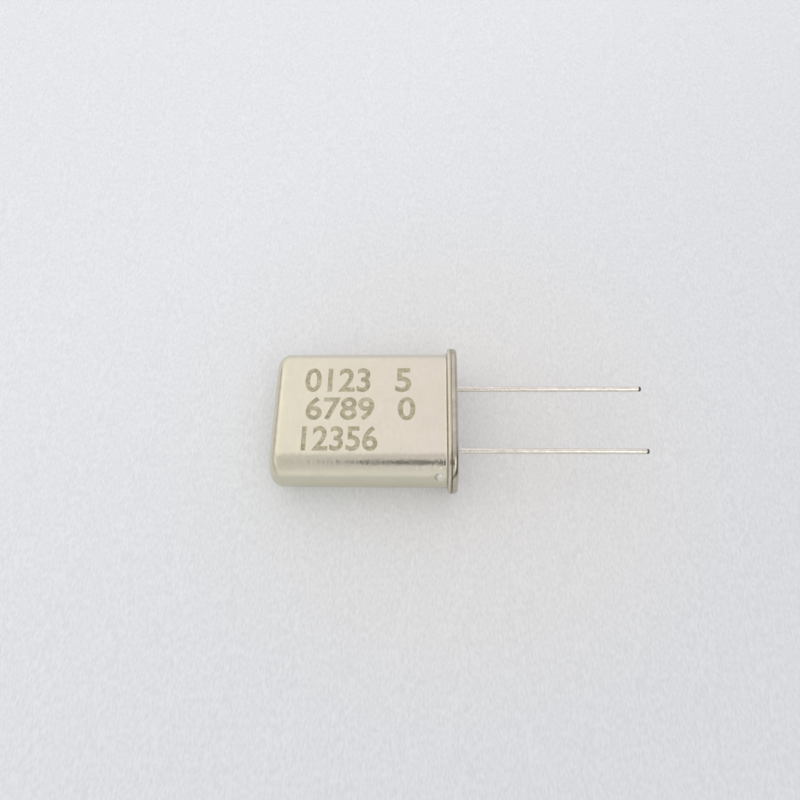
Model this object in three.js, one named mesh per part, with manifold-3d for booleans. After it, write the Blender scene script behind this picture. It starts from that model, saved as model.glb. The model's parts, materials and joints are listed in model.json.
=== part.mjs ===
// Quartz crystal resonator: a welded metal holder with two wire leads, lying on its broad side.
//
// Millimetres, +Z up. The part rests on z = 0, under the middle of its bounding box, with the can
// towards -X and the leads towards +X. Every piece is drawn upright first: the seating plane is
// z = 0, the can stands above it, the leads hang below it, x runs from lead to lead and y through
// the thickness. The finished holder is then laid down and tipped onto its flange.

import * as THREE from "three";
import { mergeVertices, toCreasedNormals } from "three/addons/utils/BufferGeometryUtils.js";
import Module from "manifold-3d";

const wasm = await Module();
wasm.setup();

// Driving dimensions

// Cup drawn from sheet, round-ended in section, with an outward flange for the weld.
const can = {
  width: 10.2, // outside, across the leads
  depth: 3.8, // outside, through the thickness
  height: 13.2, // from the seating plane to the closed end
  sheet: 0.28,
  edge: 0.9, // outside radius round the closed end
  flare: 0.2, // outside radius where the wall turns out into the flange
  overhang: 0.425, // flange past the wall, all the way round
};

// Stamped base: a thin rim under the can's flange and a thick plateau inside the can.
const header = {
  rim: 0.41, // thickness under the can's flange
  height: 1.32, // seating plane to the top of the plateau
  clearance: 0.15, // plateau to the can's inner wall
  edge: 0.15, // radius round the top of the plateau
  root: 0.1, // radius where the plateau meets the rim
  recess: 0.15, // depth of the hollow underneath
  recessInset: 0.12, // from the plateau's wall in to the hollow's roof
  recessSlope: 0.1, // how far the hollow's wall leans out
};

const lipRadius = 0.08; // outer edges of the can's flange and of the header's rim

// Round wire that runs through the header, with a flat ground on its inner end for the spring.
const lead = {
  pitch: 4.88,
  diameter: 0.43,
  length: 13.5, // below the seating plane
  post: 1.3, // above the plateau
  flat: 0.095, // depth of the flat
  flatRoom: 0.1, // flat below the ribbon's lower end
  chamfer: 0.04,
};

// Glass bead round each lead. It creeps up the wire at both ends.
const seal = {
  diameter: 1.6,
  sunkBelow: 0.2, // lower face above the seating plane
  sunkAbove: 0.07, // upper face below the plateau
  creep: 0.12,
};

// Spring ribbon: up from the post, out at a slant, then up past the edge of the blank.
const ribbon = {
  thickness: 0.12,
  width: 1.3, // of the slotted stretch
  foot: 0.8, // width of the stretch below it
  corner: 0.25, // radius of the top corners
  start: 0.3, // lower end above the plateau
  freeAbovePost: 0.15, // straight stretch between the post's end and the first bend
  slant: Math.PI / 4,
  bend: 0.3, // radius of both bends, in the middle of the sheet
  slotWidth: 0.35,
  slotRoom: 0.11, // slot past the blank, above and below
  aboveSlot: 0.5,
  belowSlot: 0.4, // full width below the slot
};

// Round quartz plate, standing on edge in the two slots.
const blank = {
  thickness: 0.11,
  clearance: 0.82, // edge to the can's inner wall
  bite: 0.1, // how far the edge reaches into the slots
  bevel: 0.02,
};

// Metal film on each face of the blank, with a tab that runs out to one spring.
const film = {
  diameter: 4.6,
  thickness: 0.02, // a real film has about a hundredth of this
  tabWidth: 0.9,
  tabShort: 0.1, // from the end of the tab to the ribbon
};

// Drop of conductive cement that wraps the ribbon, the slot and the edge of the blank.
const cement = {
  across: 0.7,
  through: 1.0,
  along: 1.4,
};

const contact = 0.01; // clearance between pieces that touch

// Facets
const roundEndSteps = 18; // columns over each round end of the can and the header
const arcSteps = 3; // half the steps along each arc of an outline
const wireSides = 24;
const blankSides = 80;

// Sizes that follow

const span = can.width - can.depth; // between the axes of the two round ends
const wallRadius = can.depth / 2;
const innerRadius = wallRadius - can.sheet;
const flangeRadius = wallRadius + can.overhang;
const flangeBottom = header.rim + contact;
const flangeTop = flangeBottom + can.sheet;
const plateauRadius = innerRadius - header.clearance;
const leadRadius = lead.diameter / 2;
const postTop = header.height + lead.post;
const ribbonBottom = header.height + ribbon.start;
const innerHalfWidth = can.width / 2 - can.sheet;
const blankRadius = innerHalfWidth - blank.clearance;
const blankCentre = (postTop + can.height - can.sheet) / 2; // midway from the posts to the closed end
const slotFace = blankRadius - blank.bite; // inner face of the ribbon's slotted stretch
const slotHalfLength = Math.sqrt(blankRadius ** 2 - slotFace ** 2) + ribbon.slotRoom;

// Materials

function metal(color, roughness) {
  return new THREE.MeshStandardMaterial({ color, roughness, metalness: 1 });
}

const nickelPlate = metal("#d8d1bf", 0.34);
const tinPlate = metal("#c9c6bd", 0.3);
const springSteel = metal("#bdb7aa", 0.35);
const silverFilm = metal("#e4e2dc", 0.22);
const sealGlass = new THREE.MeshStandardMaterial({ color: "#2f3b36", roughness: 0.15, metalness: 0 });
const silverCement = new THREE.MeshStandardMaterial({ color: "#9d9a93", roughness: 0.7, metalness: 0.3 });
const quartz = new THREE.MeshStandardMaterial({
  color: "#e9eeee",
  roughness: 0.12,
  metalness: 0,
  transparent: true,
  opacity: 0.45,
});

// Solids

// Turns a closed geometry into a solid that can be joined and cut.
function solidOf(geometry) {
  const bare = new THREE.BufferGeometry();
  bare.setAttribute("position", geometry.getAttribute("position"));
  bare.setIndex(geometry.getIndex());
  const welded = mergeVertices(bare, 1e-4);
  const corners = welded.getIndex().array;
  const triVerts = [];
  for (let i = 0; i < corners.length; i += 3) {
    const [a, b, c] = corners.slice(i, i + 3);
    if (a !== b && b !== c && c !== a) {
      triVerts.push(a, b, c);
    }
  }
  const mesh = new wasm.Mesh({
    numProp: 3,
    vertProperties: welded.getAttribute("position").array,
    triVerts: new Uint32Array(triVerts),
  });
  return new wasm.Manifold(mesh);
}

function geometryOf(solid) {
  const mesh = solid.getMesh();
  const geometry = new THREE.BufferGeometry();
  geometry.setAttribute("position", new THREE.BufferAttribute(mesh.vertProperties, 3));
  geometry.setIndex(new THREE.BufferAttribute(mesh.triVerts, 1));
  return toCreasedNormals(geometry, Math.PI / 5);
}

// A lathe pulled apart: the outline, in (radius, height) with the metal on its left, turns half
// round one axis and half round another, and flats join the halves. It starts and ends on the axis.
function ovalTurn(outline) {
  const points = outline.getPoints(arcSteps);
  const columns = 2 * (roundEndSteps + 1);
  const position = [];
  const index = [];
  for (let column = 0; column < columns; column += 1) {
    const firstHalf = column <= roundEndSteps;
    const step = firstHalf ? column : column - 1;
    const angle = (step / roundEndSteps) * Math.PI - Math.PI / 2;
    const axis = firstHalf ? span / 2 : -span / 2;
    for (const { x: radius, y: height } of points) {
      position.push(axis + radius * Math.cos(angle), radius * Math.sin(angle), height);
    }
    const here = column * points.length;
    const next = ((column + 1) % columns) * points.length;
    for (let i = 0; i + 1 < points.length; i += 1) {
      index.push(here + i, next + i, next + i + 1);
      index.push(here + i, next + i + 1, here + i + 1);
    }
  }
  const geometry = new THREE.BufferGeometry();
  geometry.setAttribute("position", new THREE.Float32BufferAttribute(position, 3));
  geometry.setIndex(index);
  return solidOf(geometry);
}

// Turns an outline in (radius, height) round the z axis.
function roundTurn(outline, sides) {
  const geometry = new THREE.LatheGeometry(outline.getPoints(arcSteps), sides);
  return solidOf(geometry.rotateX(Math.PI / 2));
}

// Extrudes a shape to a flat plate across z, with its middle at the origin.
function plate(shape, thickness, curveSegments = 2 * arcSteps) {
  const geometry = new THREE.ExtrudeGeometry(shape, {
    depth: thickness,
    bevelEnabled: false,
    curveSegments,
  });
  return geometry.translate(0, 0, -thickness / 2);
}

function canSolid() {
  const edgeCentre = { x: wallRadius - can.edge, y: can.height - can.edge };
  const flareCentre = { x: wallRadius + can.flare, y: flangeTop + can.flare };
  const outline = new THREE.Path();
  outline.moveTo(0, can.height - can.sheet);
  outline.lineTo(edgeCentre.x, can.height - can.sheet);
  outline.absarc(edgeCentre.x, edgeCentre.y, can.edge - can.sheet, Math.PI / 2, 0, true);
  outline.absarc(flareCentre.x, flareCentre.y, can.flare + can.sheet, Math.PI, 1.5 * Math.PI);
  outline.absarc(flangeRadius - lipRadius, flangeBottom + lipRadius, lipRadius, -Math.PI / 2, 0);
  outline.absarc(flangeRadius - lipRadius, flangeTop - lipRadius, lipRadius, 0, Math.PI / 2);
  outline.absarc(flareCentre.x, flareCentre.y, can.flare, 1.5 * Math.PI, Math.PI, true);
  outline.absarc(edgeCentre.x, edgeCentre.y, can.edge, 0, Math.PI / 2);
  outline.lineTo(0, can.height);
  return ovalTurn(outline);
}

function headerSolid() {
  const roofRadius = plateauRadius - header.recessInset;
  const shoulder = { x: plateauRadius - header.edge, y: header.height - header.edge };
  const outline = new THREE.Path();
  outline.moveTo(0, header.recess);
  outline.lineTo(roofRadius, header.recess);
  outline.lineTo(roofRadius + header.recessSlope, 0);
  outline.absarc(flangeRadius - lipRadius, lipRadius, lipRadius, -Math.PI / 2, 0);
  outline.absarc(flangeRadius - lipRadius, header.rim - lipRadius, lipRadius, 0, Math.PI / 2);
  const rootCentre = { x: plateauRadius + header.root, y: header.rim + header.root };
  outline.absarc(rootCentre.x, rootCentre.y, header.root, 1.5 * Math.PI, Math.PI, true);
  outline.absarc(shoulder.x, shoulder.y, header.edge, 0, Math.PI / 2);
  outline.lineTo(0, header.height);
  const holeRadius = seal.diameter / 2 + contact;
  let solid = ovalTurn(outline);
  for (const side of [1, -1]) {
    const hole = new THREE.CylinderGeometry(holeRadius, holeRadius, 4 * header.height, wireSides);
    hole.rotateX(Math.PI / 2).translate((side * lead.pitch) / 2, 0, 0);
    solid = solid.subtract(solidOf(hole));
  }
  return solid;
}

function leadSolid() {
  const outline = new THREE.Path();
  outline.moveTo(0, -lead.length);
  outline.lineTo(leadRadius - lead.chamfer, -lead.length);
  outline.lineTo(leadRadius, -lead.length + lead.chamfer);
  outline.lineTo(leadRadius, postTop - lead.chamfer);
  outline.lineTo(leadRadius - lead.chamfer, postTop);
  outline.lineTo(0, postTop);
  const flat = new THREE.BoxGeometry(lead.diameter, lead.diameter, 2 * lead.post);
  flat.translate(lead.diameter - lead.flat, 0, ribbonBottom - lead.flatRoom + lead.post);
  return roundTurn(outline, wireSides).subtract(solidOf(flat));
}

function sealSolid() {
  const bore = leadRadius + contact;
  const outer = seal.diameter / 2;
  const bottom = seal.sunkBelow;
  const top = header.height - seal.sunkAbove;
  const creep = seal.creep;
  const outline = new THREE.Path();
  outline.absarc(bore + creep, bottom - creep, creep, Math.PI, Math.PI / 2, true);
  outline.lineTo(outer, bottom);
  outline.lineTo(outer, top);
  outline.absarc(bore + creep, top + creep, creep, 1.5 * Math.PI, Math.PI, true);
  outline.lineTo(bore, bottom - creep);
  return roundTurn(outline, wireSides);
}

// Side view of the spring at +x, in (x, z): an even thickness with two bends.
function ribbonSide(margin) {
  const half = ribbon.thickness / 2 + margin;
  const postX = lead.pitch / 2 + leadRadius - lead.flat + contact + ribbon.thickness / 2;
  const slotX = slotFace + ribbon.thickness / 2;
  const { bend, slant } = ribbon;
  const straightX = slotX - postX - 2 * bend * (1 - Math.cos(slant));
  const rise = 2 * bend * Math.sin(slant) + straightX / Math.tan(slant);
  const low = { x: postX + bend, z: postTop + ribbon.freeAbovePost };
  const high = { x: slotX - bend, z: low.z + rise };
  const bottom = ribbonBottom - margin;
  const side = new THREE.Shape();
  side.moveTo(postX + half, bottom);
  side.lineTo(postX + half, low.z);
  side.absarc(low.x, low.z, bend - half, Math.PI, Math.PI - slant, true);
  side.absarc(high.x, high.z, bend + half, -slant, 0);
  side.lineTo(slotX + half, can.height);
  side.lineTo(slotX - half, can.height);
  side.absarc(high.x, high.z, bend - half, 0, -slant, true);
  side.absarc(low.x, low.z, bend + half, Math.PI - slant, Math.PI);
  side.lineTo(postX - half, bottom);
  return side;
}

// Front view of the spring, in (y, z): a narrow foot that widens below the round-ended slot.
function ribbonFront(margin) {
  const half = ribbon.width / 2 + margin;
  const footHalf = ribbon.foot / 2 + margin;
  const cornerZ = blankCentre + slotHalfLength + ribbon.aboveSlot - ribbon.corner;
  const cornerY = ribbon.width / 2 - ribbon.corner;
  const shoulder = blankCentre - slotHalfLength - ribbon.belowSlot;
  const front = new THREE.Shape();
  front.moveTo(footHalf, 0);
  front.lineTo(footHalf, shoulder - (half - footHalf));
  front.lineTo(half, shoulder);
  front.absarc(cornerY, cornerZ, ribbon.corner + margin, 0, Math.PI / 2);
  front.absarc(-cornerY, cornerZ, ribbon.corner + margin, Math.PI / 2, Math.PI);
  front.lineTo(-half, shoulder);
  front.lineTo(-footHalf, shoulder - (half - footHalf));
  front.lineTo(-footHalf, 0);
  const slotRadius = ribbon.slotWidth / 2 - margin;
  const slotReach = slotHalfLength - ribbon.slotWidth / 2;
  const slot = new THREE.Path();
  slot.absarc(0, blankCentre + slotReach, slotRadius, 0, Math.PI);
  slot.absarc(0, blankCentre - slotReach, slotRadius, Math.PI, 2 * Math.PI);
  front.holes.push(slot);
  return front;
}

// The spring at +x is what its two views have in common. A margin makes it larger all over.
function ribbonSolid(margin = 0) {
  const side = plate(ribbonSide(margin), can.depth).rotateX(Math.PI / 2);
  const front = plate(ribbonFront(margin), 2 * can.width).rotateX(Math.PI / 2).rotateZ(Math.PI / 2);
  return solidOf(side).intersect(solidOf(front));
}

function blankSolid() {
  const half = blank.thickness / 2;
  const outline = new THREE.Path();
  outline.moveTo(0, -half);
  outline.lineTo(blankRadius - blank.bevel, -half);
  outline.lineTo(blankRadius, -half + blank.bevel);
  outline.lineTo(blankRadius, half - blank.bevel);
  outline.lineTo(blankRadius - blank.bevel, half);
  outline.lineTo(0, half);
  const disc = new THREE.LatheGeometry(outline.getPoints(), blankSides);
  return solidOf(disc.translate(0, 0, blankCentre));
}

// The film on the face towards +y: a disc whose tab runs out to the spring at +x.
function filmSolid() {
  const radius = film.diameter / 2;
  const halfTab = film.tabWidth / 2;
  const tabAngle = Math.asin(halfTab / radius);
  const shape = new THREE.Shape();
  shape.absarc(0, 0, radius, tabAngle, 2 * Math.PI - tabAngle);
  shape.lineTo(slotFace - film.tabShort, -halfTab);
  shape.lineTo(slotFace - film.tabShort, halfTab);
  const middleY = (blank.thickness + film.thickness) / 2 + contact;
  const flat = plate(shape, film.thickness, blankSides / 2).rotateX(Math.PI / 2);
  return solidOf(flat.translate(0, middleY, blankCentre));
}

// The drop at +x, less what it wraps.
function cementSolid() {
  const drop = new THREE.SphereGeometry(0.5, 24, 16);
  drop.scale(cement.across, cement.through, cement.along);
  drop.translate(slotFace + ribbon.thickness / 2, 0, blankCentre);
  const coreRadius = blankRadius + contact;
  const coreThickness = blank.thickness + 2 * contact;
  const core = new THREE.CylinderGeometry(coreRadius, coreRadius, coreThickness, blankSides);
  core.translate(0, 0, blankCentre);
  const tabLength = slotFace - film.tabShort + contact;
  const tabThickness = film.thickness + 2 * contact;
  const tab = new THREE.BoxGeometry(tabLength, tabThickness, film.tabWidth + 2 * contact);
  tab.translate(tabLength / 2, (coreThickness + film.thickness) / 2, blankCentre);
  return solidOf(drop).subtract(ribbonSolid(contact)).subtract(solidOf(core)).subtract(solidOf(tab));
}

// Assembly

function piece(name, solid, material) {
  const mesh = new THREE.Mesh(geometryOf(solid), material);
  mesh.name = name;
  return mesh;
}

// What is the same on both sides: the lead, its glass, the spring and the cement.
function sideGroup(number) {
  const side = new THREE.Group();
  const wire = new THREE.Group();
  wire.add(piece(`lead_${number}`, leadSolid(), tinPlate));
  wire.add(piece(`glass_seal_${number}`, sealSolid(), sealGlass));
  wire.position.x = lead.pitch / 2;
  side.add(wire);
  side.add(piece(`mount_${number}`, ribbonSolid(), springSteel));
  side.add(piece(`cement_${number}`, cementSolid(), silverCement));
  return side;
}

const holder = new THREE.Group();
holder.add(piece("can", canSolid(), nickelPlate));
holder.add(piece("header", headerSolid(), nickelPlate));
holder.add(piece("quartz_blank", blankSolid(), quartz));

const nearSide = sideGroup(1);
const farSide = sideGroup(2);
farSide.rotation.z = Math.PI;
holder.add(nearSide, farSide);

const frontFilm = piece("electrode_front", filmSolid(), silverFilm);
const backFilm = piece("electrode_back", filmSolid(), silverFilm);
backFilm.rotation.z = Math.PI;
holder.add(frontFilm, backFilm);

// Lay the holder on its broad side, with x towards -Y, y up and the can towards -X.
holder.rotation.set(Math.PI / 2, -Math.PI / 2, 0);

// The flange is wider than the can, so the part tips until the rim of the closed end touches too:
// both then lie on the line that is tangent to the flange's lip and to the can's rounded edge.
const lipToEdge = {
  along: can.height - can.edge - (flangeTop - lipRadius),
  up: flangeRadius - lipRadius - (wallRadius - can.edge),
};
const reach = Math.hypot(lipToEdge.along, lipToEdge.up);
const tip = Math.acos((can.edge - lipRadius) / reach) - Math.atan2(lipToEdge.along, lipToEdge.up);

const resting = new THREE.Group();
resting.add(holder);
resting.rotation.y = -tip;

const resonator = new THREE.Group();
resonator.name = "crystal_resonator";
resonator.add(resting);
resonator.updateMatrixWorld(true);
const box = new THREE.Box3().setFromObject(resonator, true);
const middle = box.getCenter(new THREE.Vector3());
resting.position.set(-middle.x, -middle.y, -box.min.z);

export default resonator;
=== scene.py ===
import json
import math
import bmesh
import bpy
from mathutils import Matrix, Vector, noise


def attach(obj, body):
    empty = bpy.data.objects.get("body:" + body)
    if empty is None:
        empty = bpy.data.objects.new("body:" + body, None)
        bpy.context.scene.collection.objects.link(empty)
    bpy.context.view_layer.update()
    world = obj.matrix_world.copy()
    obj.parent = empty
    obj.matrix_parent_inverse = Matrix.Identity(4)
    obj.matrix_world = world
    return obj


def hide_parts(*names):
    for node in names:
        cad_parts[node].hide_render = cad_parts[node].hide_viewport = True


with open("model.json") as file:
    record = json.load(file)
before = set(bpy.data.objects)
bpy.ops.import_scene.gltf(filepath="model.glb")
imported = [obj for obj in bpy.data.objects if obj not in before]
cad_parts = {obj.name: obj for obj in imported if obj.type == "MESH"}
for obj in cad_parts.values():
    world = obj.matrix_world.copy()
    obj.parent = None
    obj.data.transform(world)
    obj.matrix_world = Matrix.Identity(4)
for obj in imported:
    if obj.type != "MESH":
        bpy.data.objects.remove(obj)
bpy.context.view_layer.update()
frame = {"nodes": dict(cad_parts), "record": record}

# The lie of the holder
# It rests on its broad side, tipped a little because its flange is wider than its can. Every piece
# is shaped upright, in millimetres: the seating plane is z = 0, the can stands above it and the
# leads hang below it, x runs from lead to lead and y through the thickness.
MM = 0.001


def upright_box(node, lying):
    """Lowest and highest corner of a CAD node, in the upright frame."""
    corners = [lying.inverted() @ v.co for v in frame["nodes"][node].data.vertices]
    return Vector(map(min, zip(*corners))), Vector(map(max, zip(*corners)))


mount_axes = {m["name"]: Vector(m["axis"]) for m in frame["record"]["mounts"]}
up_the_can = -mount_axes["seating_face"]
broadside = mount_axes["broad_face"]
turned = Matrix((broadside.cross(up_the_can), broadside, up_the_can)).transposed().to_4x4()
unplaced_low, unplaced_high = upright_box("header", turned)
seat_middle = (unplaced_low + unplaced_high) / 2
seat = turned @ Vector((seat_middle.x, seat_middle.y, unplaced_low.z))
lying = Matrix.Translation(seat) @ turned @ Matrix.Scale(MM, 4)


# Header
# The base is stamped from steel and nickel plated: a thin rim that is welded to the can, and a
# thick plateau with a round hole for each lead's glass. Underneath it has a shallow hollow.
merge_distance = 0.0005
sharp_angle = math.radians(40)


def outline_of(corners, arc_segments=10):
    """A wire in the xz plane through corners given as (radius, height, rounding)."""
    shape = bmesh.new()
    verts = [shape.verts.new((x, 0, z)) for x, z, _ in corners]
    for start, end in zip(verts, verts[1:]):
        shape.edges.new((start, end))
    for vert, (_, _, rounding) in zip(verts, corners):
        if rounding:
            bmesh.ops.bevel(
                shape, geom=[vert], offset=rounding, affect="VERTICES",
                segments=arc_segments, profile=0.5, material=-1,
            )
    return shape


def turn_round_z(shape, angle):
    """Turns a whole shape round the z axis."""
    bmesh.ops.rotate(
        shape, verts=shape.verts, cent=(0, 0, 0), matrix=Matrix.Rotation(angle, 3, "Z")
    )


def oval_turn(shape, span, turn_steps, run_steps):
    """Sweeps a wire round an oval: half round one end, straight along, and the same again."""
    turn_round_z(shape, -math.pi / 2)
    bmesh.ops.translate(shape, verts=shape.verts, vec=(span / 2, 0, 0))
    front = shape.verts[:] + shape.edges[:]
    for side in (1, -1):
        for centre, angle, step, steps in (
            (side * span / 2, math.pi, 0, turn_steps),
            (0, 0, -side * span / run_steps, run_steps),
        ):
            swept = bmesh.ops.spin(
                shape, geom=front, cent=(centre, 0, 0), axis=(0, 0, 1),
                dvec=(step, 0, 0), angle=angle, steps=steps,
            )
            front = swept["geom_last"]
    bmesh.ops.remove_doubles(shape, verts=shape.verts, dist=merge_distance)


def laid_down(shape, name, materials):
    """Makes an upright shape a piece of the lying holder."""
    bmesh.ops.recalc_face_normals(shape, faces=shape.faces)
    shape.transform(lying)
    mesh = bpy.data.meshes.new(name)
    shape.to_mesh(mesh)
    shape.free()
    for material in materials:
        mesh.materials.append(material)
    mesh.shade_smooth()
    mesh.set_sharp_from_angle(angle=sharp_angle)
    piece = bpy.data.objects.new(name, mesh)
    bpy.context.scene.collection.objects.link(piece)
    return piece


def fill(tree, node, inputs):
    """Sets a node's inputs. Each is a value, or a socket that the input is linked to."""
    for name, value in inputs.items():
        if isinstance(value, bpy.types.NodeSocket):
            tree.links.new(value, node.inputs[name])
        else:
            node.inputs[name].default_value = value


def add_node(tree, kind, inputs=None, **settings):
    """A new shader node with these settings and inputs."""
    node = tree.nodes.new(kind)
    for name, value in settings.items():
        setattr(node, name, value)
    fill(tree, node, inputs or {})
    return node


def new_material(name):
    """An empty Principled material, and upright coordinates in millimetres to shade it by."""
    material = bpy.data.materials.new(name)
    material.use_nodes = True
    tree = material.node_tree
    place = add_node(tree, "ShaderNodeTexCoord").outputs["Object"]
    upright = add_node(
        tree, "ShaderNodeMapping",
        {"Vector": place, "Location": seat, "Rotation": turned.to_euler(), "Scale": (MM, MM, MM)},
        vector_type="TEXTURE",
    )
    return material, tree, tree.nodes["Principled BSDF"], upright.outputs["Vector"]


def grain(tree, where, scale, detail=2.0, stretch=(1, 1, 1)):
    """Noise from 0 to 1 with this many cells to a millimetre. It seldom leaves 0.3 to 0.7."""
    stretched = add_node(tree, "ShaderNodeMapping", {"Vector": where, "Scale": stretch})
    return add_node(
        tree, "ShaderNodeTexNoise",
        {"Vector": stretched.outputs["Vector"], "Scale": scale, "Detail": detail},
    ).outputs["Fac"]


def spread(tree, value, low, high, start=0.3, end=0.7):
    """Runs from low to high as a value runs from start to end."""
    return add_node(
        tree, "ShaderNodeMapRange",
        {"Value": value, "From Min": start, "From Max": end, "To Min": low, "To Max": high},
    ).outputs["Result"]


def rising(tree, value, start, end):
    """0 up to start, and 1 from end on."""
    return spread(tree, value, 0, 1, start, end)


def maths(tree, operation, first, second=0.0):
    """The result of an operation on two values."""
    return add_node(tree, "ShaderNodeMath", {0: first, 1: second}, operation=operation).outputs[0]


def both(tree, first, second):
    """1 where both values are 1."""
    return maths(tree, "MULTIPLY", first, second)


def above(tree, value, level, softness):
    """1 where a value is above a level, with a soft edge."""
    return rising(tree, maths(tree, "SUBTRACT", value, level), -softness, softness)


def blend(tree, share, first, second, blend_type="MIX"):
    """A colour that goes from the first to the second as share goes from 0 to 1."""
    colours = {0: share, 6: first, 7: second}
    return add_node(
        tree, "ShaderNodeMix", colours, data_type="RGBA", blend_type=blend_type
    ).outputs[2]


def axes_of(tree, vector):
    """The X, Y and Z of a vector."""
    return add_node(tree, "ShaderNodeSeparateXYZ", {"Vector": vector}).outputs


def distance_from(tree, place, centre=(0, 0, 0)):
    """How far a place is from a centre."""
    return add_node(
        tree, "ShaderNodeVectorMath", {0: place, 1: centre}, operation="DISTANCE"
    ).outputs["Value"]


def from_spine(tree, along):
    """Distance from the line that joins the middles of the oval's two rounds."""
    beyond = maths(tree, "SUBTRACT", maths(tree, "ABSOLUTE", along["X"]), span / 2)
    beyond = maths(tree, "MAXIMUM", beyond, 0)
    flat = add_node(tree, "ShaderNodeCombineXYZ", {"X": beyond, "Y": along["Y"]})
    return distance_from(tree, flat.outputs["Vector"])


def bumped(tree, height, distance, normal=None):
    """A normal that stands up by this many millimetres where height is 1."""
    inputs = {"Height": height, "Strength": 1.0, "Distance": distance * MM}
    if normal is not None:
        inputs["Normal"] = normal
    return add_node(tree, "ShaderNodeBump", inputs).outputs["Normal"]


_, header_high = upright_box("header", lying)
flange_radius = header_high.y
span = 2 * (header_high.x - flange_radius)
rim_thickness = 0.41
foot_rounding = 0.27
weld_rounding = 0.03
plateau_radius = 1.47
plateau_root = 0.1
plateau_rounding = 0.15
plateau_top_band = 0.3
hollow_depth = 0.15
hollow_radius = plateau_radius - 0.12
hollow_draft = 0.1
hollow_root = 0.05
hollow_rounding = 0.04
hole_radius = 0.805
hole_segments = 64
lead_pitch = 4.88
same_height = 0.001

header_shape = outline_of(
    [
        (hollow_radius - hollow_draft, hollow_depth, 0),
        (hollow_radius, hollow_depth, hollow_root),
        (hollow_radius + hollow_draft, 0, hollow_rounding),
        (flange_radius, 0, foot_rounding),
        (flange_radius, rim_thickness, weld_rounding),
        (plateau_radius, rim_thickness, plateau_root),
        (plateau_radius, header_high.z, plateau_rounding),
        (plateau_radius - plateau_top_band, header_high.z, 0),
    ]
)
oval_turn(header_shape, span, 64, 16)
hole_rings = []
for height in (hollow_depth, header_high.z):
    edge_loop = [
        edge for edge in header_shape.edges
        if edge.is_boundary and abs(edge.verts[0].co.z - height) < same_height
    ]
    rings = []
    for side in (1, -1):
        middle = Matrix.Translation((side * lead_pitch / 2, 0, height))
        circle = bmesh.ops.create_circle(
            header_shape, segments=hole_segments, radius=hole_radius, matrix=middle
        )
        rings.append(list(dict.fromkeys(e for v in circle["verts"] for e in v.link_edges)))
    bmesh.ops.triangle_fill(header_shape, edges=edge_loop + rings[0] + rings[1], use_beauty=True)
    hole_rings.append(rings)
for lower, upper in zip(*hole_rings):
    bmesh.ops.bridge_loops(header_shape, edges=lower + upper)

dull_nickel = (0.46, 0.435, 0.34, 1)
fresh_nickel = (0.58, 0.55, 0.45, 1)
painted_shade_brown = (0.26, 0.22, 0.16, 1)
# A dark band painted slantwise over the near end of the rim: painted shade for the dark reflection
shade_band_top = (0.12, 0.5)
shade_band_top_run = (4.45, 5.1)
shade_band_foot = (0, 0.42)
shade_band_foot_run = (4.66, 5.14)
shade_band_edge = 0.03
near_end = (2.4, 3.6)
rim_band = 0.15
rim_band_edge = 0.04

header_plate, tree, shader, upright = new_material("header_plating")
along = axes_of(tree, upright)
mottle = grain(tree, upright, 1.2, 3)
fine = grain(tree, upright, 9, 2)
tone = blend(tree, spread(tree, mottle, 0, 1), dull_nickel, fresh_nickel)
top = spread(tree, along["X"], *shade_band_top, *shade_band_top_run)
foot = spread(tree, along["X"], *shade_band_foot, *shade_band_foot_run)
below_top = above(tree, top, along["Z"], shade_band_edge)
above_foot = above(tree, along["Z"], foot, shade_band_edge)
on_rim = above(tree, from_spine(tree, along), flange_radius - rim_band, rim_band_edge)
on_near_rim = both(tree, rising(tree, along["X"], *near_end), on_rim)
# Painted shade: the dark band over the rim's near end
painted_rim_shade = both(tree, both(tree, below_top, above_foot), on_near_rim)
fill(
    tree, shader,
    {
        "Base Color": blend(tree, painted_rim_shade, tone, painted_shade_brown),
        "Metallic": 1.0,
        "Roughness": spread(tree, fine, 0.2, 0.28),
        "Normal": bumped(tree, fine, 0.003),
    },
)
header = laid_down(header_shape, "header_plated", [header_plate])
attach(header, "root")
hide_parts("header")

# Glass seals
# A bead of dark glass is fused between each lead and its hole, and keeps the lead from touching
# the header. The glass creeps up the wire at both ends.
black_glass = (0.02, 0.03, 0.028, 1)
green_glass = (0.06, 0.08, 0.075, 1)
glass, tree, shader, upright = new_material("seal_glass")
swirl = grain(tree, upright, 3, 3)
fill(
    tree, shader,
    {
        "Base Color": blend(tree, spread(tree, swirl, 0, 1), black_glass, green_glass),
        "Roughness": 0.08,
        "IOR": 1.52,
        "Normal": bumped(tree, swirl, 0.01),
    },
)


def round_turn(shape, steps=64):
    """Turns a wire round the z axis."""
    bmesh.ops.spin(
        shape, geom=shape.verts[:] + shape.edges[:], cent=(0, 0, 0), axis=(0, 0, 1),
        dvec=(0, 0, 0), angle=2 * math.pi, steps=steps, use_merge=True,
    )
    bmesh.ops.remove_doubles(shape, verts=shape.verts, dist=merge_distance)


def to_side(shape, number):
    """Moves a shape made round the z axis to lead 1 or 2, which are half a turn apart."""
    bmesh.ops.translate(shape, verts=shape.verts, vec=(lead_pitch / 2, 0, 0))
    if number == 2:
        turn_round_z(shape, math.pi)


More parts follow.
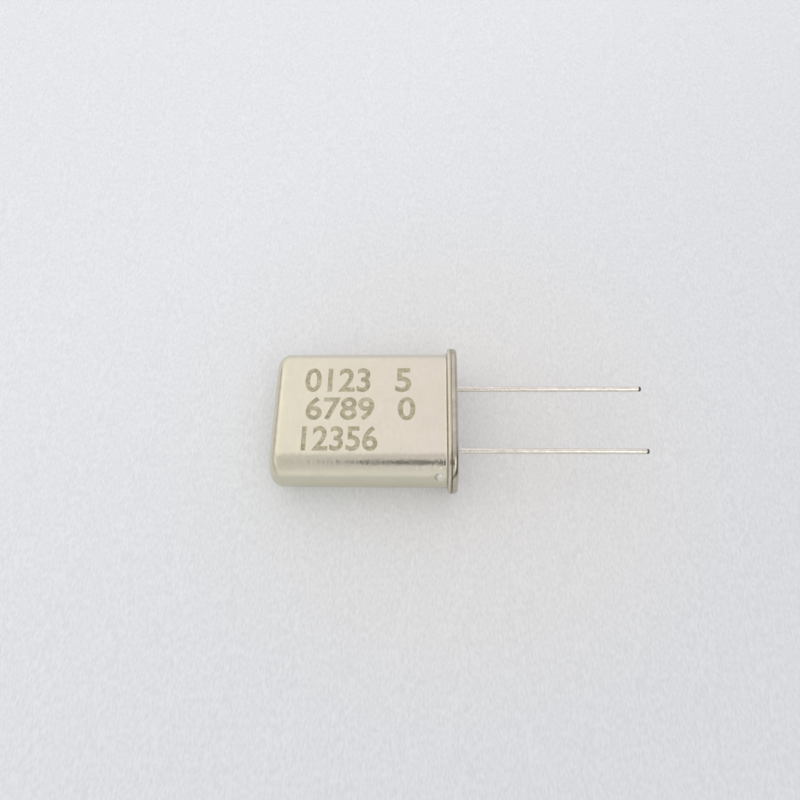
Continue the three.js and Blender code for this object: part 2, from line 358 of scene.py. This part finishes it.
bead_radius = 0.8
bead_bore = 0.216
bead_bottom = 0.2
bead_top = header_high.z - 0.07
creep_up_wire = 0.12
creep_up_hole = 0.03
creep_thickness = 0.02
wire_fillet = 0.09
hole_fillet = 0.06
for number in (1, 2):
    bead = outline_of(
        [
            (bead_bore, bead_bottom - creep_up_wire, 0),
            (bead_bore + creep_thickness, bead_bottom, wire_fillet),
            (bead_radius - creep_thickness, bead_bottom, hole_fillet),
            (bead_radius, bead_bottom - creep_up_hole, 0),
            (bead_radius, bead_top + creep_up_hole, 0),
            (bead_radius - creep_thickness, bead_top, hole_fillet),
            (bead_bore + creep_thickness, bead_top, wire_fillet),
            (bead_bore, bead_top + creep_up_wire, 0),
            (bead_bore, bead_bottom - creep_up_wire, 0),
        ],
        8,
    )
    round_turn(bead)
    to_side(bead, number)
    seal = laid_down(bead, f"glass_bead_{number}", [glass])
    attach(seal, "root")
    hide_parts(f"glass_seal_{number}")

# Leads
# Round iron-nickel wire, dipped in tin after assembly, so its skin is a little uneven. The outer
# end is sheared off, and the inner end has a flat ground on it for the spring.
grey_tin = (0.68, 0.65, 0.58, 1)
bright_tin = (0.82, 0.79, 0.72, 1)
tin, tree, shader, upright = new_material("lead_tin")
lumps = grain(tree, upright, 4, 3, (1, 1, 0.35))
fine = grain(tree, upright, 16, 2, (1, 1, 0.5))
fill(
    tree, shader,
    {
        "Base Color": blend(tree, spread(tree, lumps, 0, 1), grey_tin, bright_tin),
        "Metallic": 1.0,
        "Roughness": spread(tree, fine, 0.16, 0.32),
        "Normal": bumped(tree, fine, 0.004, bumped(tree, lumps, 0.02)),
    },
)
dark_wire = (0.05, 0.045, 0.04, 1)
bare_wire = (0.2, 0.18, 0.16, 1)
cut_wire, tree, shader, upright = new_material("sheared_wire")
drag = grain(tree, upright, 14, 3, (0.3, 1, 1))
fill(
    tree, shader,
    {
        "Base Color": blend(tree, spread(tree, drag, 0, 1), dark_wire, bare_wire),
        "Metallic": 1.0,
        "Roughness": 0.5,
        "Normal": bumped(tree, drag, 0.01),
    },
)


def close_rows(shape, longest):
    """Cuts the edges of a wire that are longer than longest."""
    for edge in shape.edges[:]:
        cuts = int(edge.calc_length() / longest)
        if cuts:
            bmesh.ops.subdivide_edges(shape, edges=[edge], cuts=cuts)


lead_radius = 0.215
shear_length = 0.16
shear_pinch = 0.05
shear_rounding = 0.03
tin_thickness = 0.01
inner_rounding = 0.04
row_length = 0.12
on_axis = 0.1
skin_swell = 0.035
skin_shrink = 0.02
skin_stretch = 0.7
skin_rate = 1.6
next_wire = 20
flat_foot = 1.52
flat_depth = 0.095
for number in (1, 2):
    lead_low, lead_high = upright_box(f"lead_{number}", lying)
    sheared = lead_low.z + shear_length
    wire = outline_of(
        [
            (0, lead_low.z, 0),
            (lead_radius - shear_pinch, lead_low.z, shear_rounding),
            (lead_radius - tin_thickness, sheared, shear_rounding),
            (lead_radius, sheared + shear_rounding, 0),
            (lead_radius, lead_high.z, inner_rounding),
            (0, lead_high.z, 0),
        ],
        4,
    )
    close_rows(wire, row_length)
    round_turn(wire, 32)
    for vert in wire.verts:
        if vert.co.z < 0 and vert.co.xy.length > on_axis:
            down_wire = vert.co.z * skin_stretch + next_wire * number
            wander = noise.noise(Vector((vert.co.x, vert.co.y, down_wire)) * skin_rate)
            vert.co.xy *= 1 + skin_swell * wander - skin_shrink
        if vert.co.z > flat_foot:
            vert.co.x = min(vert.co.x, lead_radius - flat_depth)
    for face in wire.faces:
        if face.calc_center_median().z < sheared:
            face.material_index = 1
    to_side(wire, number)
    lead = laid_down(wire, f"tinned_lead_{number}", [tin, cut_wire])
    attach(lead, "root")
    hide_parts(f"lead_{number}")

# Springs
# The ribbons that hold the quartz are pressed from thin nickel strip and spot welded to the flats
# on the leads. Rolling left fine lines along the strip.
dark_strip = (0.5, 0.47, 0.42, 1)
pale_strip = (0.68, 0.65, 0.6, 1)
strip, tree, shader, upright = new_material("spring_strip")
rolled = grain(tree, upright, 14, 3, (1, 1, 0.08))
fill(
    tree, shader,
    {
        "Base Color": blend(tree, spread(tree, rolled, 0, 1), dark_strip, pale_strip),
        "Metallic": 1.0,
        "Roughness": spread(tree, rolled, 0.22, 0.4),
        "Normal": bumped(tree, rolled, 0.003),
    },
)
for number in (1, 2):
    frame["nodes"][f"mount_{number}"].material_slots[0].material = strip

# Quartz
# A round plate cut from a quartz bar and lapped, so it is clear with a slight haze. It stands with
# its edge in the slots of both springs.
lapped, tree, shader, upright = new_material("lapped_quartz")
haze = grain(tree, upright, 20, 4)
fill(
    tree, shader,
    {
        "Base Color": (0.93, 0.96, 0.96, 1),
        "Roughness": spread(tree, haze, 0.1, 0.3),
        "IOR": 1.54,
        "Transmission Weight": 0.85,
        "Normal": bumped(tree, haze, 0.001),
    },
)
frame["nodes"]["quartz_blank"].material_slots[0].material = lapped

# Electrodes
# Silver film is evaporated on each face of the quartz through a mask, as a disc with a tab that
# runs to one spring. It blooms a little.
bloomed_silver = (0.8, 0.78, 0.72, 1)
clean_silver = (0.93, 0.92, 0.9, 1)
silver, tree, shader, upright = new_material("silver_film")
bloom = grain(tree, upright, 2.5, 3)
fill(
    tree, shader,
    {
        "Base Color": blend(tree, spread(tree, bloom, 0, 1), bloomed_silver, clean_silver),
        "Metallic": 1.0,
        "Roughness": spread(tree, bloom, 0.12, 0.24),
    },
)
for name in ("electrode_front", "electrode_back"):
    frame["nodes"][name].material_slots[0].material = silver

# Cement
# A drop of silver-filled cement fixes the quartz in each spring's slot and joins it to its film.
# It sets grey and full of flakes.
flake_grey = (0.5, 0.48, 0.44, 1)
resin_grey = (0.3, 0.29, 0.27, 1)
filled, tree, shader, upright = new_material("silver_cement")
cells = add_node(tree, "ShaderNodeTexVoronoi", {"Vector": upright, "Scale": 30})
flakes = cells.outputs["Distance"]
fill(
    tree, shader,
    {
        "Base Color": blend(tree, rising(tree, flakes, 0, 0.6), flake_grey, resin_grey),
        "Metallic": 0.35,
        "Roughness": 0.6,
        "Normal": bumped(tree, flakes, 0.01),
    },
)
for number in (1, 2):
    frame["nodes"][f"cement_{number}"].material_slots[0].material = filled

# Can
# The cup is deep drawn from thin sheet, then nickel plated to a satin. Its mouth turns out into a
# flange, which is welded to the header's rim all round.
can_low, can_high = upright_box("can", lying)
sheet = 0.28
wall_radius = 1.9
can_edge = 0.9
flare = 0.2
flange_rounding = 0.14
can_row = 0.2
on_wall = wall_radius - 0.001
can_shape = outline_of(
    [
        (0, can_high.z - sheet, 0),
        (wall_radius - sheet, can_high.z - sheet, can_edge - sheet),
        (wall_radius - sheet, can_low.z, flare + sheet),
        (flange_radius, can_low.z, weld_rounding),
        (flange_radius, can_low.z + sheet, flange_rounding),
        (wall_radius, can_low.z + sheet, flare),
        (wall_radius, can_high.z, can_edge),
        (0, can_high.z, 0),
    ],
    12,
)
close_rows(can_shape, can_row)

# A small round knock in the outer wall, in one corner by the flange, where the rows are finer
knock_turn = math.radians(57)
knock_height = 1.28
knock_depth = 0.045
knock_reach = 0.37
knock_slope = 0.2
knock_waver = 0.12
knock_waver_rate = 3
knock_rows = (0.8, 1.9)
for edge in can_shape.edges[:]:
    ends = [v.co for v in edge.verts]
    lowest = min(c.z for c in ends)
    if min(c.x for c in ends) > on_wall and knock_rows[0] < lowest < knock_rows[1]:
        bmesh.ops.subdivide_edges(can_shape, edges=[edge], cuts=2)
oval_turn(can_shape, span, 72, 24)
knocked = Vector(
    (span / 2 + wall_radius * math.sin(knock_turn), wall_radius * math.cos(knock_turn), knock_height)
)
for vert in can_shape.verts:
    away = (vert.co - knocked).length + knock_waver * noise.noise(vert.co * knock_waver_rate)
    outside = Vector((vert.co.x - span / 2, vert.co.y)).length > wall_radius - 0.01
    if away < knock_reach and outside:
        depth = knock_depth * min(1, (knock_reach - away) / knock_slope)
        vert.co -= depth * Vector((math.sin(knock_turn), math.cos(knock_turn), 0))


def falling(tree, value, start, end):
    """1 up to start, and 0 from end on."""
    return spread(tree, value, 1, 0, start, end)


foot_satin = (0.745, 0.7, 0.595, 1)
top_satin = (0.755, 0.715, 0.585, 1)
painted_shade_olive = (0.68, 0.66, 0.53, 1)
mottle_brown = (0.5, 0.46, 0.36, 1)
peel_brown = (0.66, 0.6, 0.5, 1)
fine_peel_brown = (0.66, 0.62, 0.5, 1)
painted_corner_shade_brown = (0.36, 0.31, 0.24, 1)
painted_knock_shade_brown = (0.38, 0.35, 0.28, 1)
painted_highlight_white = (0.97, 0.91, 0.86, 1)
painted_seam_shade_tone = (0.5, 0.46, 0.38, 1)
near_seam_shade_brown = (0.24, 0.21, 0.15, 1)
# Where each tone comes in or fades: up the can, towards the near round, or from the knock
satin_run = (1.0, 12.5)
low_shade_side = (4.6, 4.75)
low_shade_top = (0.95, 1.2)
corner_foot = (0.702, 0.712)
corner_top = (0.76, 0.8)
knock_rim = 0.34
knock_shade_inner = 0.26
knock_shade_edge = 0.05
knock_shade_foot = knocked.z + 0.12
knock_shade_foot_edge = 0.08
knock_highlight_top = knocked.z + 0.08
knock_highlight_edge = 0.12
seam_shade_top = (0.51, 0.57)
near_seam_side = (2.8, 3.8)
near_seam_top = (0.47, 0.54)

can_plate, tree, shader, upright = new_material("can_plating")
along = axes_of(tree, upright)
height_up_can = along["Z"]
mottle = grain(tree, upright, 0.7, 3)
orange_peel = grain(tree, upright, 4, 2, (0.6, 0.6, 1))
fine_peel = grain(tree, upright, 10, 2)
tone = blend(tree, rising(tree, height_up_can, *satin_run), foot_satin, top_satin)
# Painted shade: darker and yellower low on the near round, for the shaded floor it mirrors
painted_low_shade = both(tree, rising(tree, along["X"], *low_shade_side), falling(tree, along["Y"], *low_shade_top))
tone = blend(tree, painted_low_shade, tone, painted_shade_olive)
tone = blend(tree, spread(tree, mottle, 0, 0.08), tone, mottle_brown)
tone = blend(tree, spread(tree, orange_peel, 0, 0.2), tone, peel_brown)
tone = blend(tree, spread(tree, fine_peel, 0, 0.2), tone, fine_peel_brown)
# Painted shade, uneven, in the corner where the wall turns out into the flange
in_corner = both(
    tree, rising(tree, height_up_can, *corner_foot), falling(tree, height_up_can, *corner_top)
)
painted_corner_shade = both(tree, in_corner, spread(tree, mottle, 0.5, 1))
tone = blend(tree, painted_corner_shade, tone, painted_corner_shade_brown)
# The knock: painted shade round its upper side, and a painted highlight below that, for the
# reflections on its slopes
from_knock = distance_from(tree, upright, knocked)
past_knock_highlight = above(tree, from_knock, knock_shade_inner, knock_shade_edge)
painted_knock_shade = both(tree, past_knock_highlight, above(tree, knock_rim, from_knock, knock_shade_edge))
painted_knock_shade = both(tree, painted_knock_shade, above(tree, height_up_can, knock_shade_foot, knock_shade_foot_edge))
tone = blend(tree, painted_knock_shade, tone, painted_knock_shade_brown)
painted_knock_highlight = both(
    tree,
    above(tree, knock_rim, from_knock, knock_highlight_edge),
    above(tree, knock_highlight_top, height_up_can, knock_highlight_edge),
)
painted_knock_highlight = both(tree, painted_knock_highlight, spread(tree, grain(tree, upright, 6, 2), 0, 1))
tone = blend(tree, painted_knock_highlight, tone, painted_highlight_white)
# Painted shade on the flange's lower part beside the seam, deeper on its near end
tone = blend(tree, falling(tree, height_up_can, *seam_shade_top), tone, painted_seam_shade_tone)
painted_near_seam_shade = both(tree, rising(tree, along["X"], *near_seam_side), falling(tree, height_up_can, *near_seam_top))
fill(
    tree, shader,
    {
        "Base Color": blend(tree, painted_near_seam_shade, tone, near_seam_shade_brown),
        "Metallic": 1.0,
        "Roughness": spread(tree, mottle, 0.2, 0.28),
        "Normal": bumped(tree, fine_peel, 0.005, bumped(tree, orange_peel, 0.017)),
    },
)
can = laid_down(can_shape, "can_drawn", [can_plate])
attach(can, "root")
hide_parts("can")

# Marking
# Plain counting numbers in three rows on the upper broad face. They are burnt into the plating,
# so their brown-grey is uneven.
dark_burn = (0.35, 0.315, 0.205, 1)
pale_burn = (0.6, 0.55, 0.395, 1)
burnt, tree, shader, upright = new_material("burnt_marking")
speckle = grain(tree, upright, 5, 4, (1, 1, 0.6))
fill(
    tree, shader,
    {
        "Base Color": blend(tree, spread(tree, speckle, 0, 1), dark_burn, pale_burn),
        "Metallic": 0.6,
        "Roughness": 0.5,
        "Normal": bumped(tree, speckle, 0.006),
    },
)
print_stand = 0.004
stroke_growth = 0.02
# Each word: its foot and top across the can, and its start and end along it
words = (
    ("0123", -1.3, -3.2, 10.93, 6.23),
    ("5", -1.3, -3.2, 4.44, 3.29),
    ("6789", 0.89, -0.9, 10.74, 5.89),
    ("0", 0.89, -0.9, 4.21, 2.97),
    ("12356", 3.2, 1.33, 10.89, 5.58),
)
marking_shape = bmesh.new()
for text, foot, top, start, end in words:
    curve = bpy.data.curves.new("word", "FONT")
    curve.body = text
    curve.offset = stroke_growth
    holder = bpy.data.objects.new("word", curve)
    bpy.context.scene.collection.objects.link(holder)
    ready = holder.evaluated_get(bpy.context.evaluated_depsgraph_get())
    flat = bpy.data.meshes.new_from_object(ready)
    word_shape = bmesh.new()
    word_shape.from_mesh(flat)
    left = min(v.co.x for v in word_shape.verts)
    right = max(v.co.x for v in word_shape.verts)
    bottom = min(v.co.y for v in word_shape.verts)
    height = max(v.co.y for v in word_shape.verts) - bottom
    fitted = Matrix((
        (0, (top - foot) / height, 0, foot - bottom * (top - foot) / height),
        (0, 0, 1, wall_radius + print_stand),
        ((end - start) / (right - left), 0, 0, start - left * (end - start) / (right - left)),
        (0, 0, 0, 1),
    ))
    bmesh.ops.transform(word_shape, verts=word_shape.verts, matrix=fitted)
    word_shape.to_mesh(flat)
    word_shape.free()
    marking_shape.from_mesh(flat)
    bpy.data.objects.remove(holder)
    bpy.data.curves.remove(curve)
    bpy.data.meshes.remove(flat)
marking = laid_down(marking_shape, "marking", [burnt])
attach(marking, "root")

# Floor
# A plain sheet of pale grey card with a fine fibre. Painted light: it is a little warmer round the
# holder, for light thrown back off the can, and paler towards the back and the left, where more
# light falls.
painted_dim_card = (0.845, 0.87, 0.89, 1)
painted_lit_card = (0.95, 0.985, 1, 1)
painted_bounce_card = (0.93, 0.885, 0.81, 1)
fibre_shade = (0.79, 0.79, 0.79, 1)
glow_grey = (0.66, 0.69, 0.75, 1)
glow_share = 0.2
floor_reach = 1.0
card, tree, shader, upright = new_material("pale_card")
along = axes_of(tree, upright)
fibres = grain(tree, upright, 7, 4, (0.4, 1, 1))
slope = maths(tree, "SUBTRACT", along["Z"], along["X"])
# Painted light: paler towards the back and the left
tone = blend(tree, rising(tree, slope, -30, 40), painted_dim_card, painted_lit_card)
# Painted light: warmer round the holder, as light thrown back off the can
bounce_round_holder = spread(tree, distance_from(tree, upright), 0.5, 0, 8, 24)
tone = blend(tree, bounce_round_holder, tone, painted_bounce_card)
fill(
    tree, shader,
    {
        "Base Color": blend(tree, spread(tree, fibres, 0, 0.7), tone, fibre_shade, "MULTIPLY"),
        "Roughness": 0.9,
        "Specular IOR Level": 0.2,
    },
)
rays = add_node(tree, "ShaderNodeLightPath").outputs
seen = maths(tree, "MAXIMUM", rays["Is Camera Ray"], rays["Is Glossy Ray"])
seen = maths(tree, "MAXIMUM", seen, rays["Is Transmission Ray"])
glow = add_node(tree, "ShaderNodeEmission", {"Color": glow_grey})
softened = add_node(
    tree, "ShaderNodeMixShader",
    {0: both(tree, seen, glow_share), 1: shader.outputs["BSDF"], 2: glow.outputs["Emission"]},
)
fill(tree, tree.nodes["Material Output"], {"Surface": softened.outputs["Shader"]})
floor_shape = bmesh.new()
bmesh.ops.create_grid(floor_shape, x_segments=1, y_segments=1, size=floor_reach)
floor_mesh = bpy.data.meshes.new("floor")
floor_shape.to_mesh(floor_mesh)
floor_shape.free()
floor_mesh.materials.append(card)
floor = bpy.data.objects.new("floor", floor_mesh)
bpy.context.scene.collection.objects.link(floor)

# Light
# A pale room with one very large soft box behind the holder. The room is brightest beside the
# camera, and dark low on the right, and the plating mirrors all of it.
cream_wall = (0.75, 0.75, 0.71, 1)
pink_wall = (0.68, 0.63, 0.69, 1)
grey_wall = (0.7, 0.7, 0.7, 1)
front_white = (0.88, 0.88, 0.86, 1)
left_white = (0.95, 0.94, 0.91, 1)
skirting_brown = (0.55, 0.5, 0.46, 1)
bright_white = (1.7, 1.7, 1.7, 1)
gloom_brown = (0.3, 0.28, 0.26, 1)
backdrop_grey = (0.74, 0.75, 0.78, 1)
world = bpy.data.worlds.new("room")
world.use_nodes = True
bpy.context.scene.world = world
tree = world.node_tree
toward = add_node(tree, "ShaderNodeTexCoord").outputs["Generated"]
direction = axes_of(tree, toward)
wall = blend(tree, rising(tree, direction["X"], -0.3, 0.05), cream_wall, pink_wall)
wall = blend(tree, falling(tree, direction["Y"], -0.3, 0.2), wall, grey_wall)
low_front = both(
    tree, falling(tree, direction["Z"], 0.3, 0.6), falling(tree, direction["Y"], -0.5, 0.3)
)
wall = blend(tree, low_front, wall, front_white)
to_left = falling(tree, direction["X"], -0.8, -0.4)
left_wall = both(tree, to_left, falling(tree, direction["Z"], 0.6, 0.8))
wall = blend(tree, left_wall, wall, left_white)
left_skirting = both(tree, to_left, falling(tree, direction["Z"], 0.2, 0.45))
wall = blend(tree, left_skirting, wall, skirting_brown)
beside_camera = both(
    tree, rising(tree, direction["X"], 0.04, 0.13), rising(tree, direction["Z"], 0.45, 0.65)
)
beside_camera = both(tree, beside_camera, falling(tree, direction["Y"], -0.3, -0.05))
wall = blend(tree, beside_camera, wall, bright_white)
to_right = both(
    tree, rising(tree, direction["X"], 0.3, 0.6), falling(tree, direction["Y"], 0.05, 0.35)
)
low_right = both(tree, to_right, falling(tree, direction["Z"], 0.45, 0.7))
wall = blend(tree, low_right, wall, gloom_brown)
seen = add_node(tree, "ShaderNodeLightPath").outputs["Is Camera Ray"]
wall = blend(tree, seen, wall, backdrop_grey)
fill(tree, tree.nodes["Background"], {"Color": wall})

lamp_elevation = math.radians(36)
lamp_left = 0.2
lamp_distance = 0.2
soft_box = bpy.data.lights.new("soft_box", "AREA")
soft_box.shape = "SQUARE"
soft_box.size = 0.42
soft_box.energy = 0.175
lamp = bpy.data.objects.new("soft_box", soft_box)
bpy.context.scene.collection.objects.link(lamp)
toward_lamp = Vector((-lamp_left, math.cos(lamp_elevation), math.sin(lamp_elevation)))
lamp.location = toward_lamp * lamp_distance
lamp.rotation_mode = "QUATERNION"
lamp.rotation_quaternion = lamp.location.to_track_quat("Z", "Y")

# Camera
# It looks down steeply from close by, so the holder's far side is drawn smaller than its near
# side. It is turned a degree off square.
elevation = math.radians(65.14)
heading = Matrix.Rotation(math.radians(1.006), 3, "Z")
distance = 51.61
aim = seat + heading @ Vector((-4.127, 1.551, 0)) * MM
camera_data = bpy.data.cameras.new("camera")
camera_data.lens = 31.5
camera_data.sensor_width = 36
camera_data.clip_start = 0.001
camera = bpy.data.objects.new("camera", camera_data)
bpy.context.scene.collection.objects.link(camera)
back = heading @ Vector((0, -math.cos(elevation), math.sin(elevation)))
camera.location = aim + back * distance * MM
camera.rotation_mode = "QUATERNION"
camera.rotation_quaternion = (-back).to_track_quat("-Z", "Y")
bpy.context.scene.camera = camera

# Camera's own shade
# The camera stands close, and the bright can mirrors its dark front. A black disc stands in for
# that front: it throws no shadow, and only what is mirrored or seen through glass shows it.
front_radius = 0.0105
front_drop = 0.007
front_shape = bmesh.new()
bmesh.ops.create_circle(front_shape, cap_ends=True, segments=48, radius=front_radius)
front_mesh = bpy.data.meshes.new("camera_front")
front_shape.to_mesh(front_mesh)
front_shape.free()
black, tree, shader, upright = new_material("camera_black")
fill(tree, shader, {"Base Color": (0.06, 0.06, 0.055, 1), "Roughness": 0.6})
front_mesh.materials.append(black)
camera_front = bpy.data.objects.new("camera_front", front_mesh)
bpy.context.scene.collection.objects.link(camera_front)
front_middle = camera.location - camera.rotation_quaternion @ Vector((0, front_drop, 0))
camera_front.matrix_world = Matrix.LocRotScale(front_middle, camera.rotation_quaternion, None)
camera_front.visible_camera = False
camera_front.visible_diffuse = False
camera_front.visible_shadow = False

bpy.context.scene.view_settings.view_transform = "Standard"
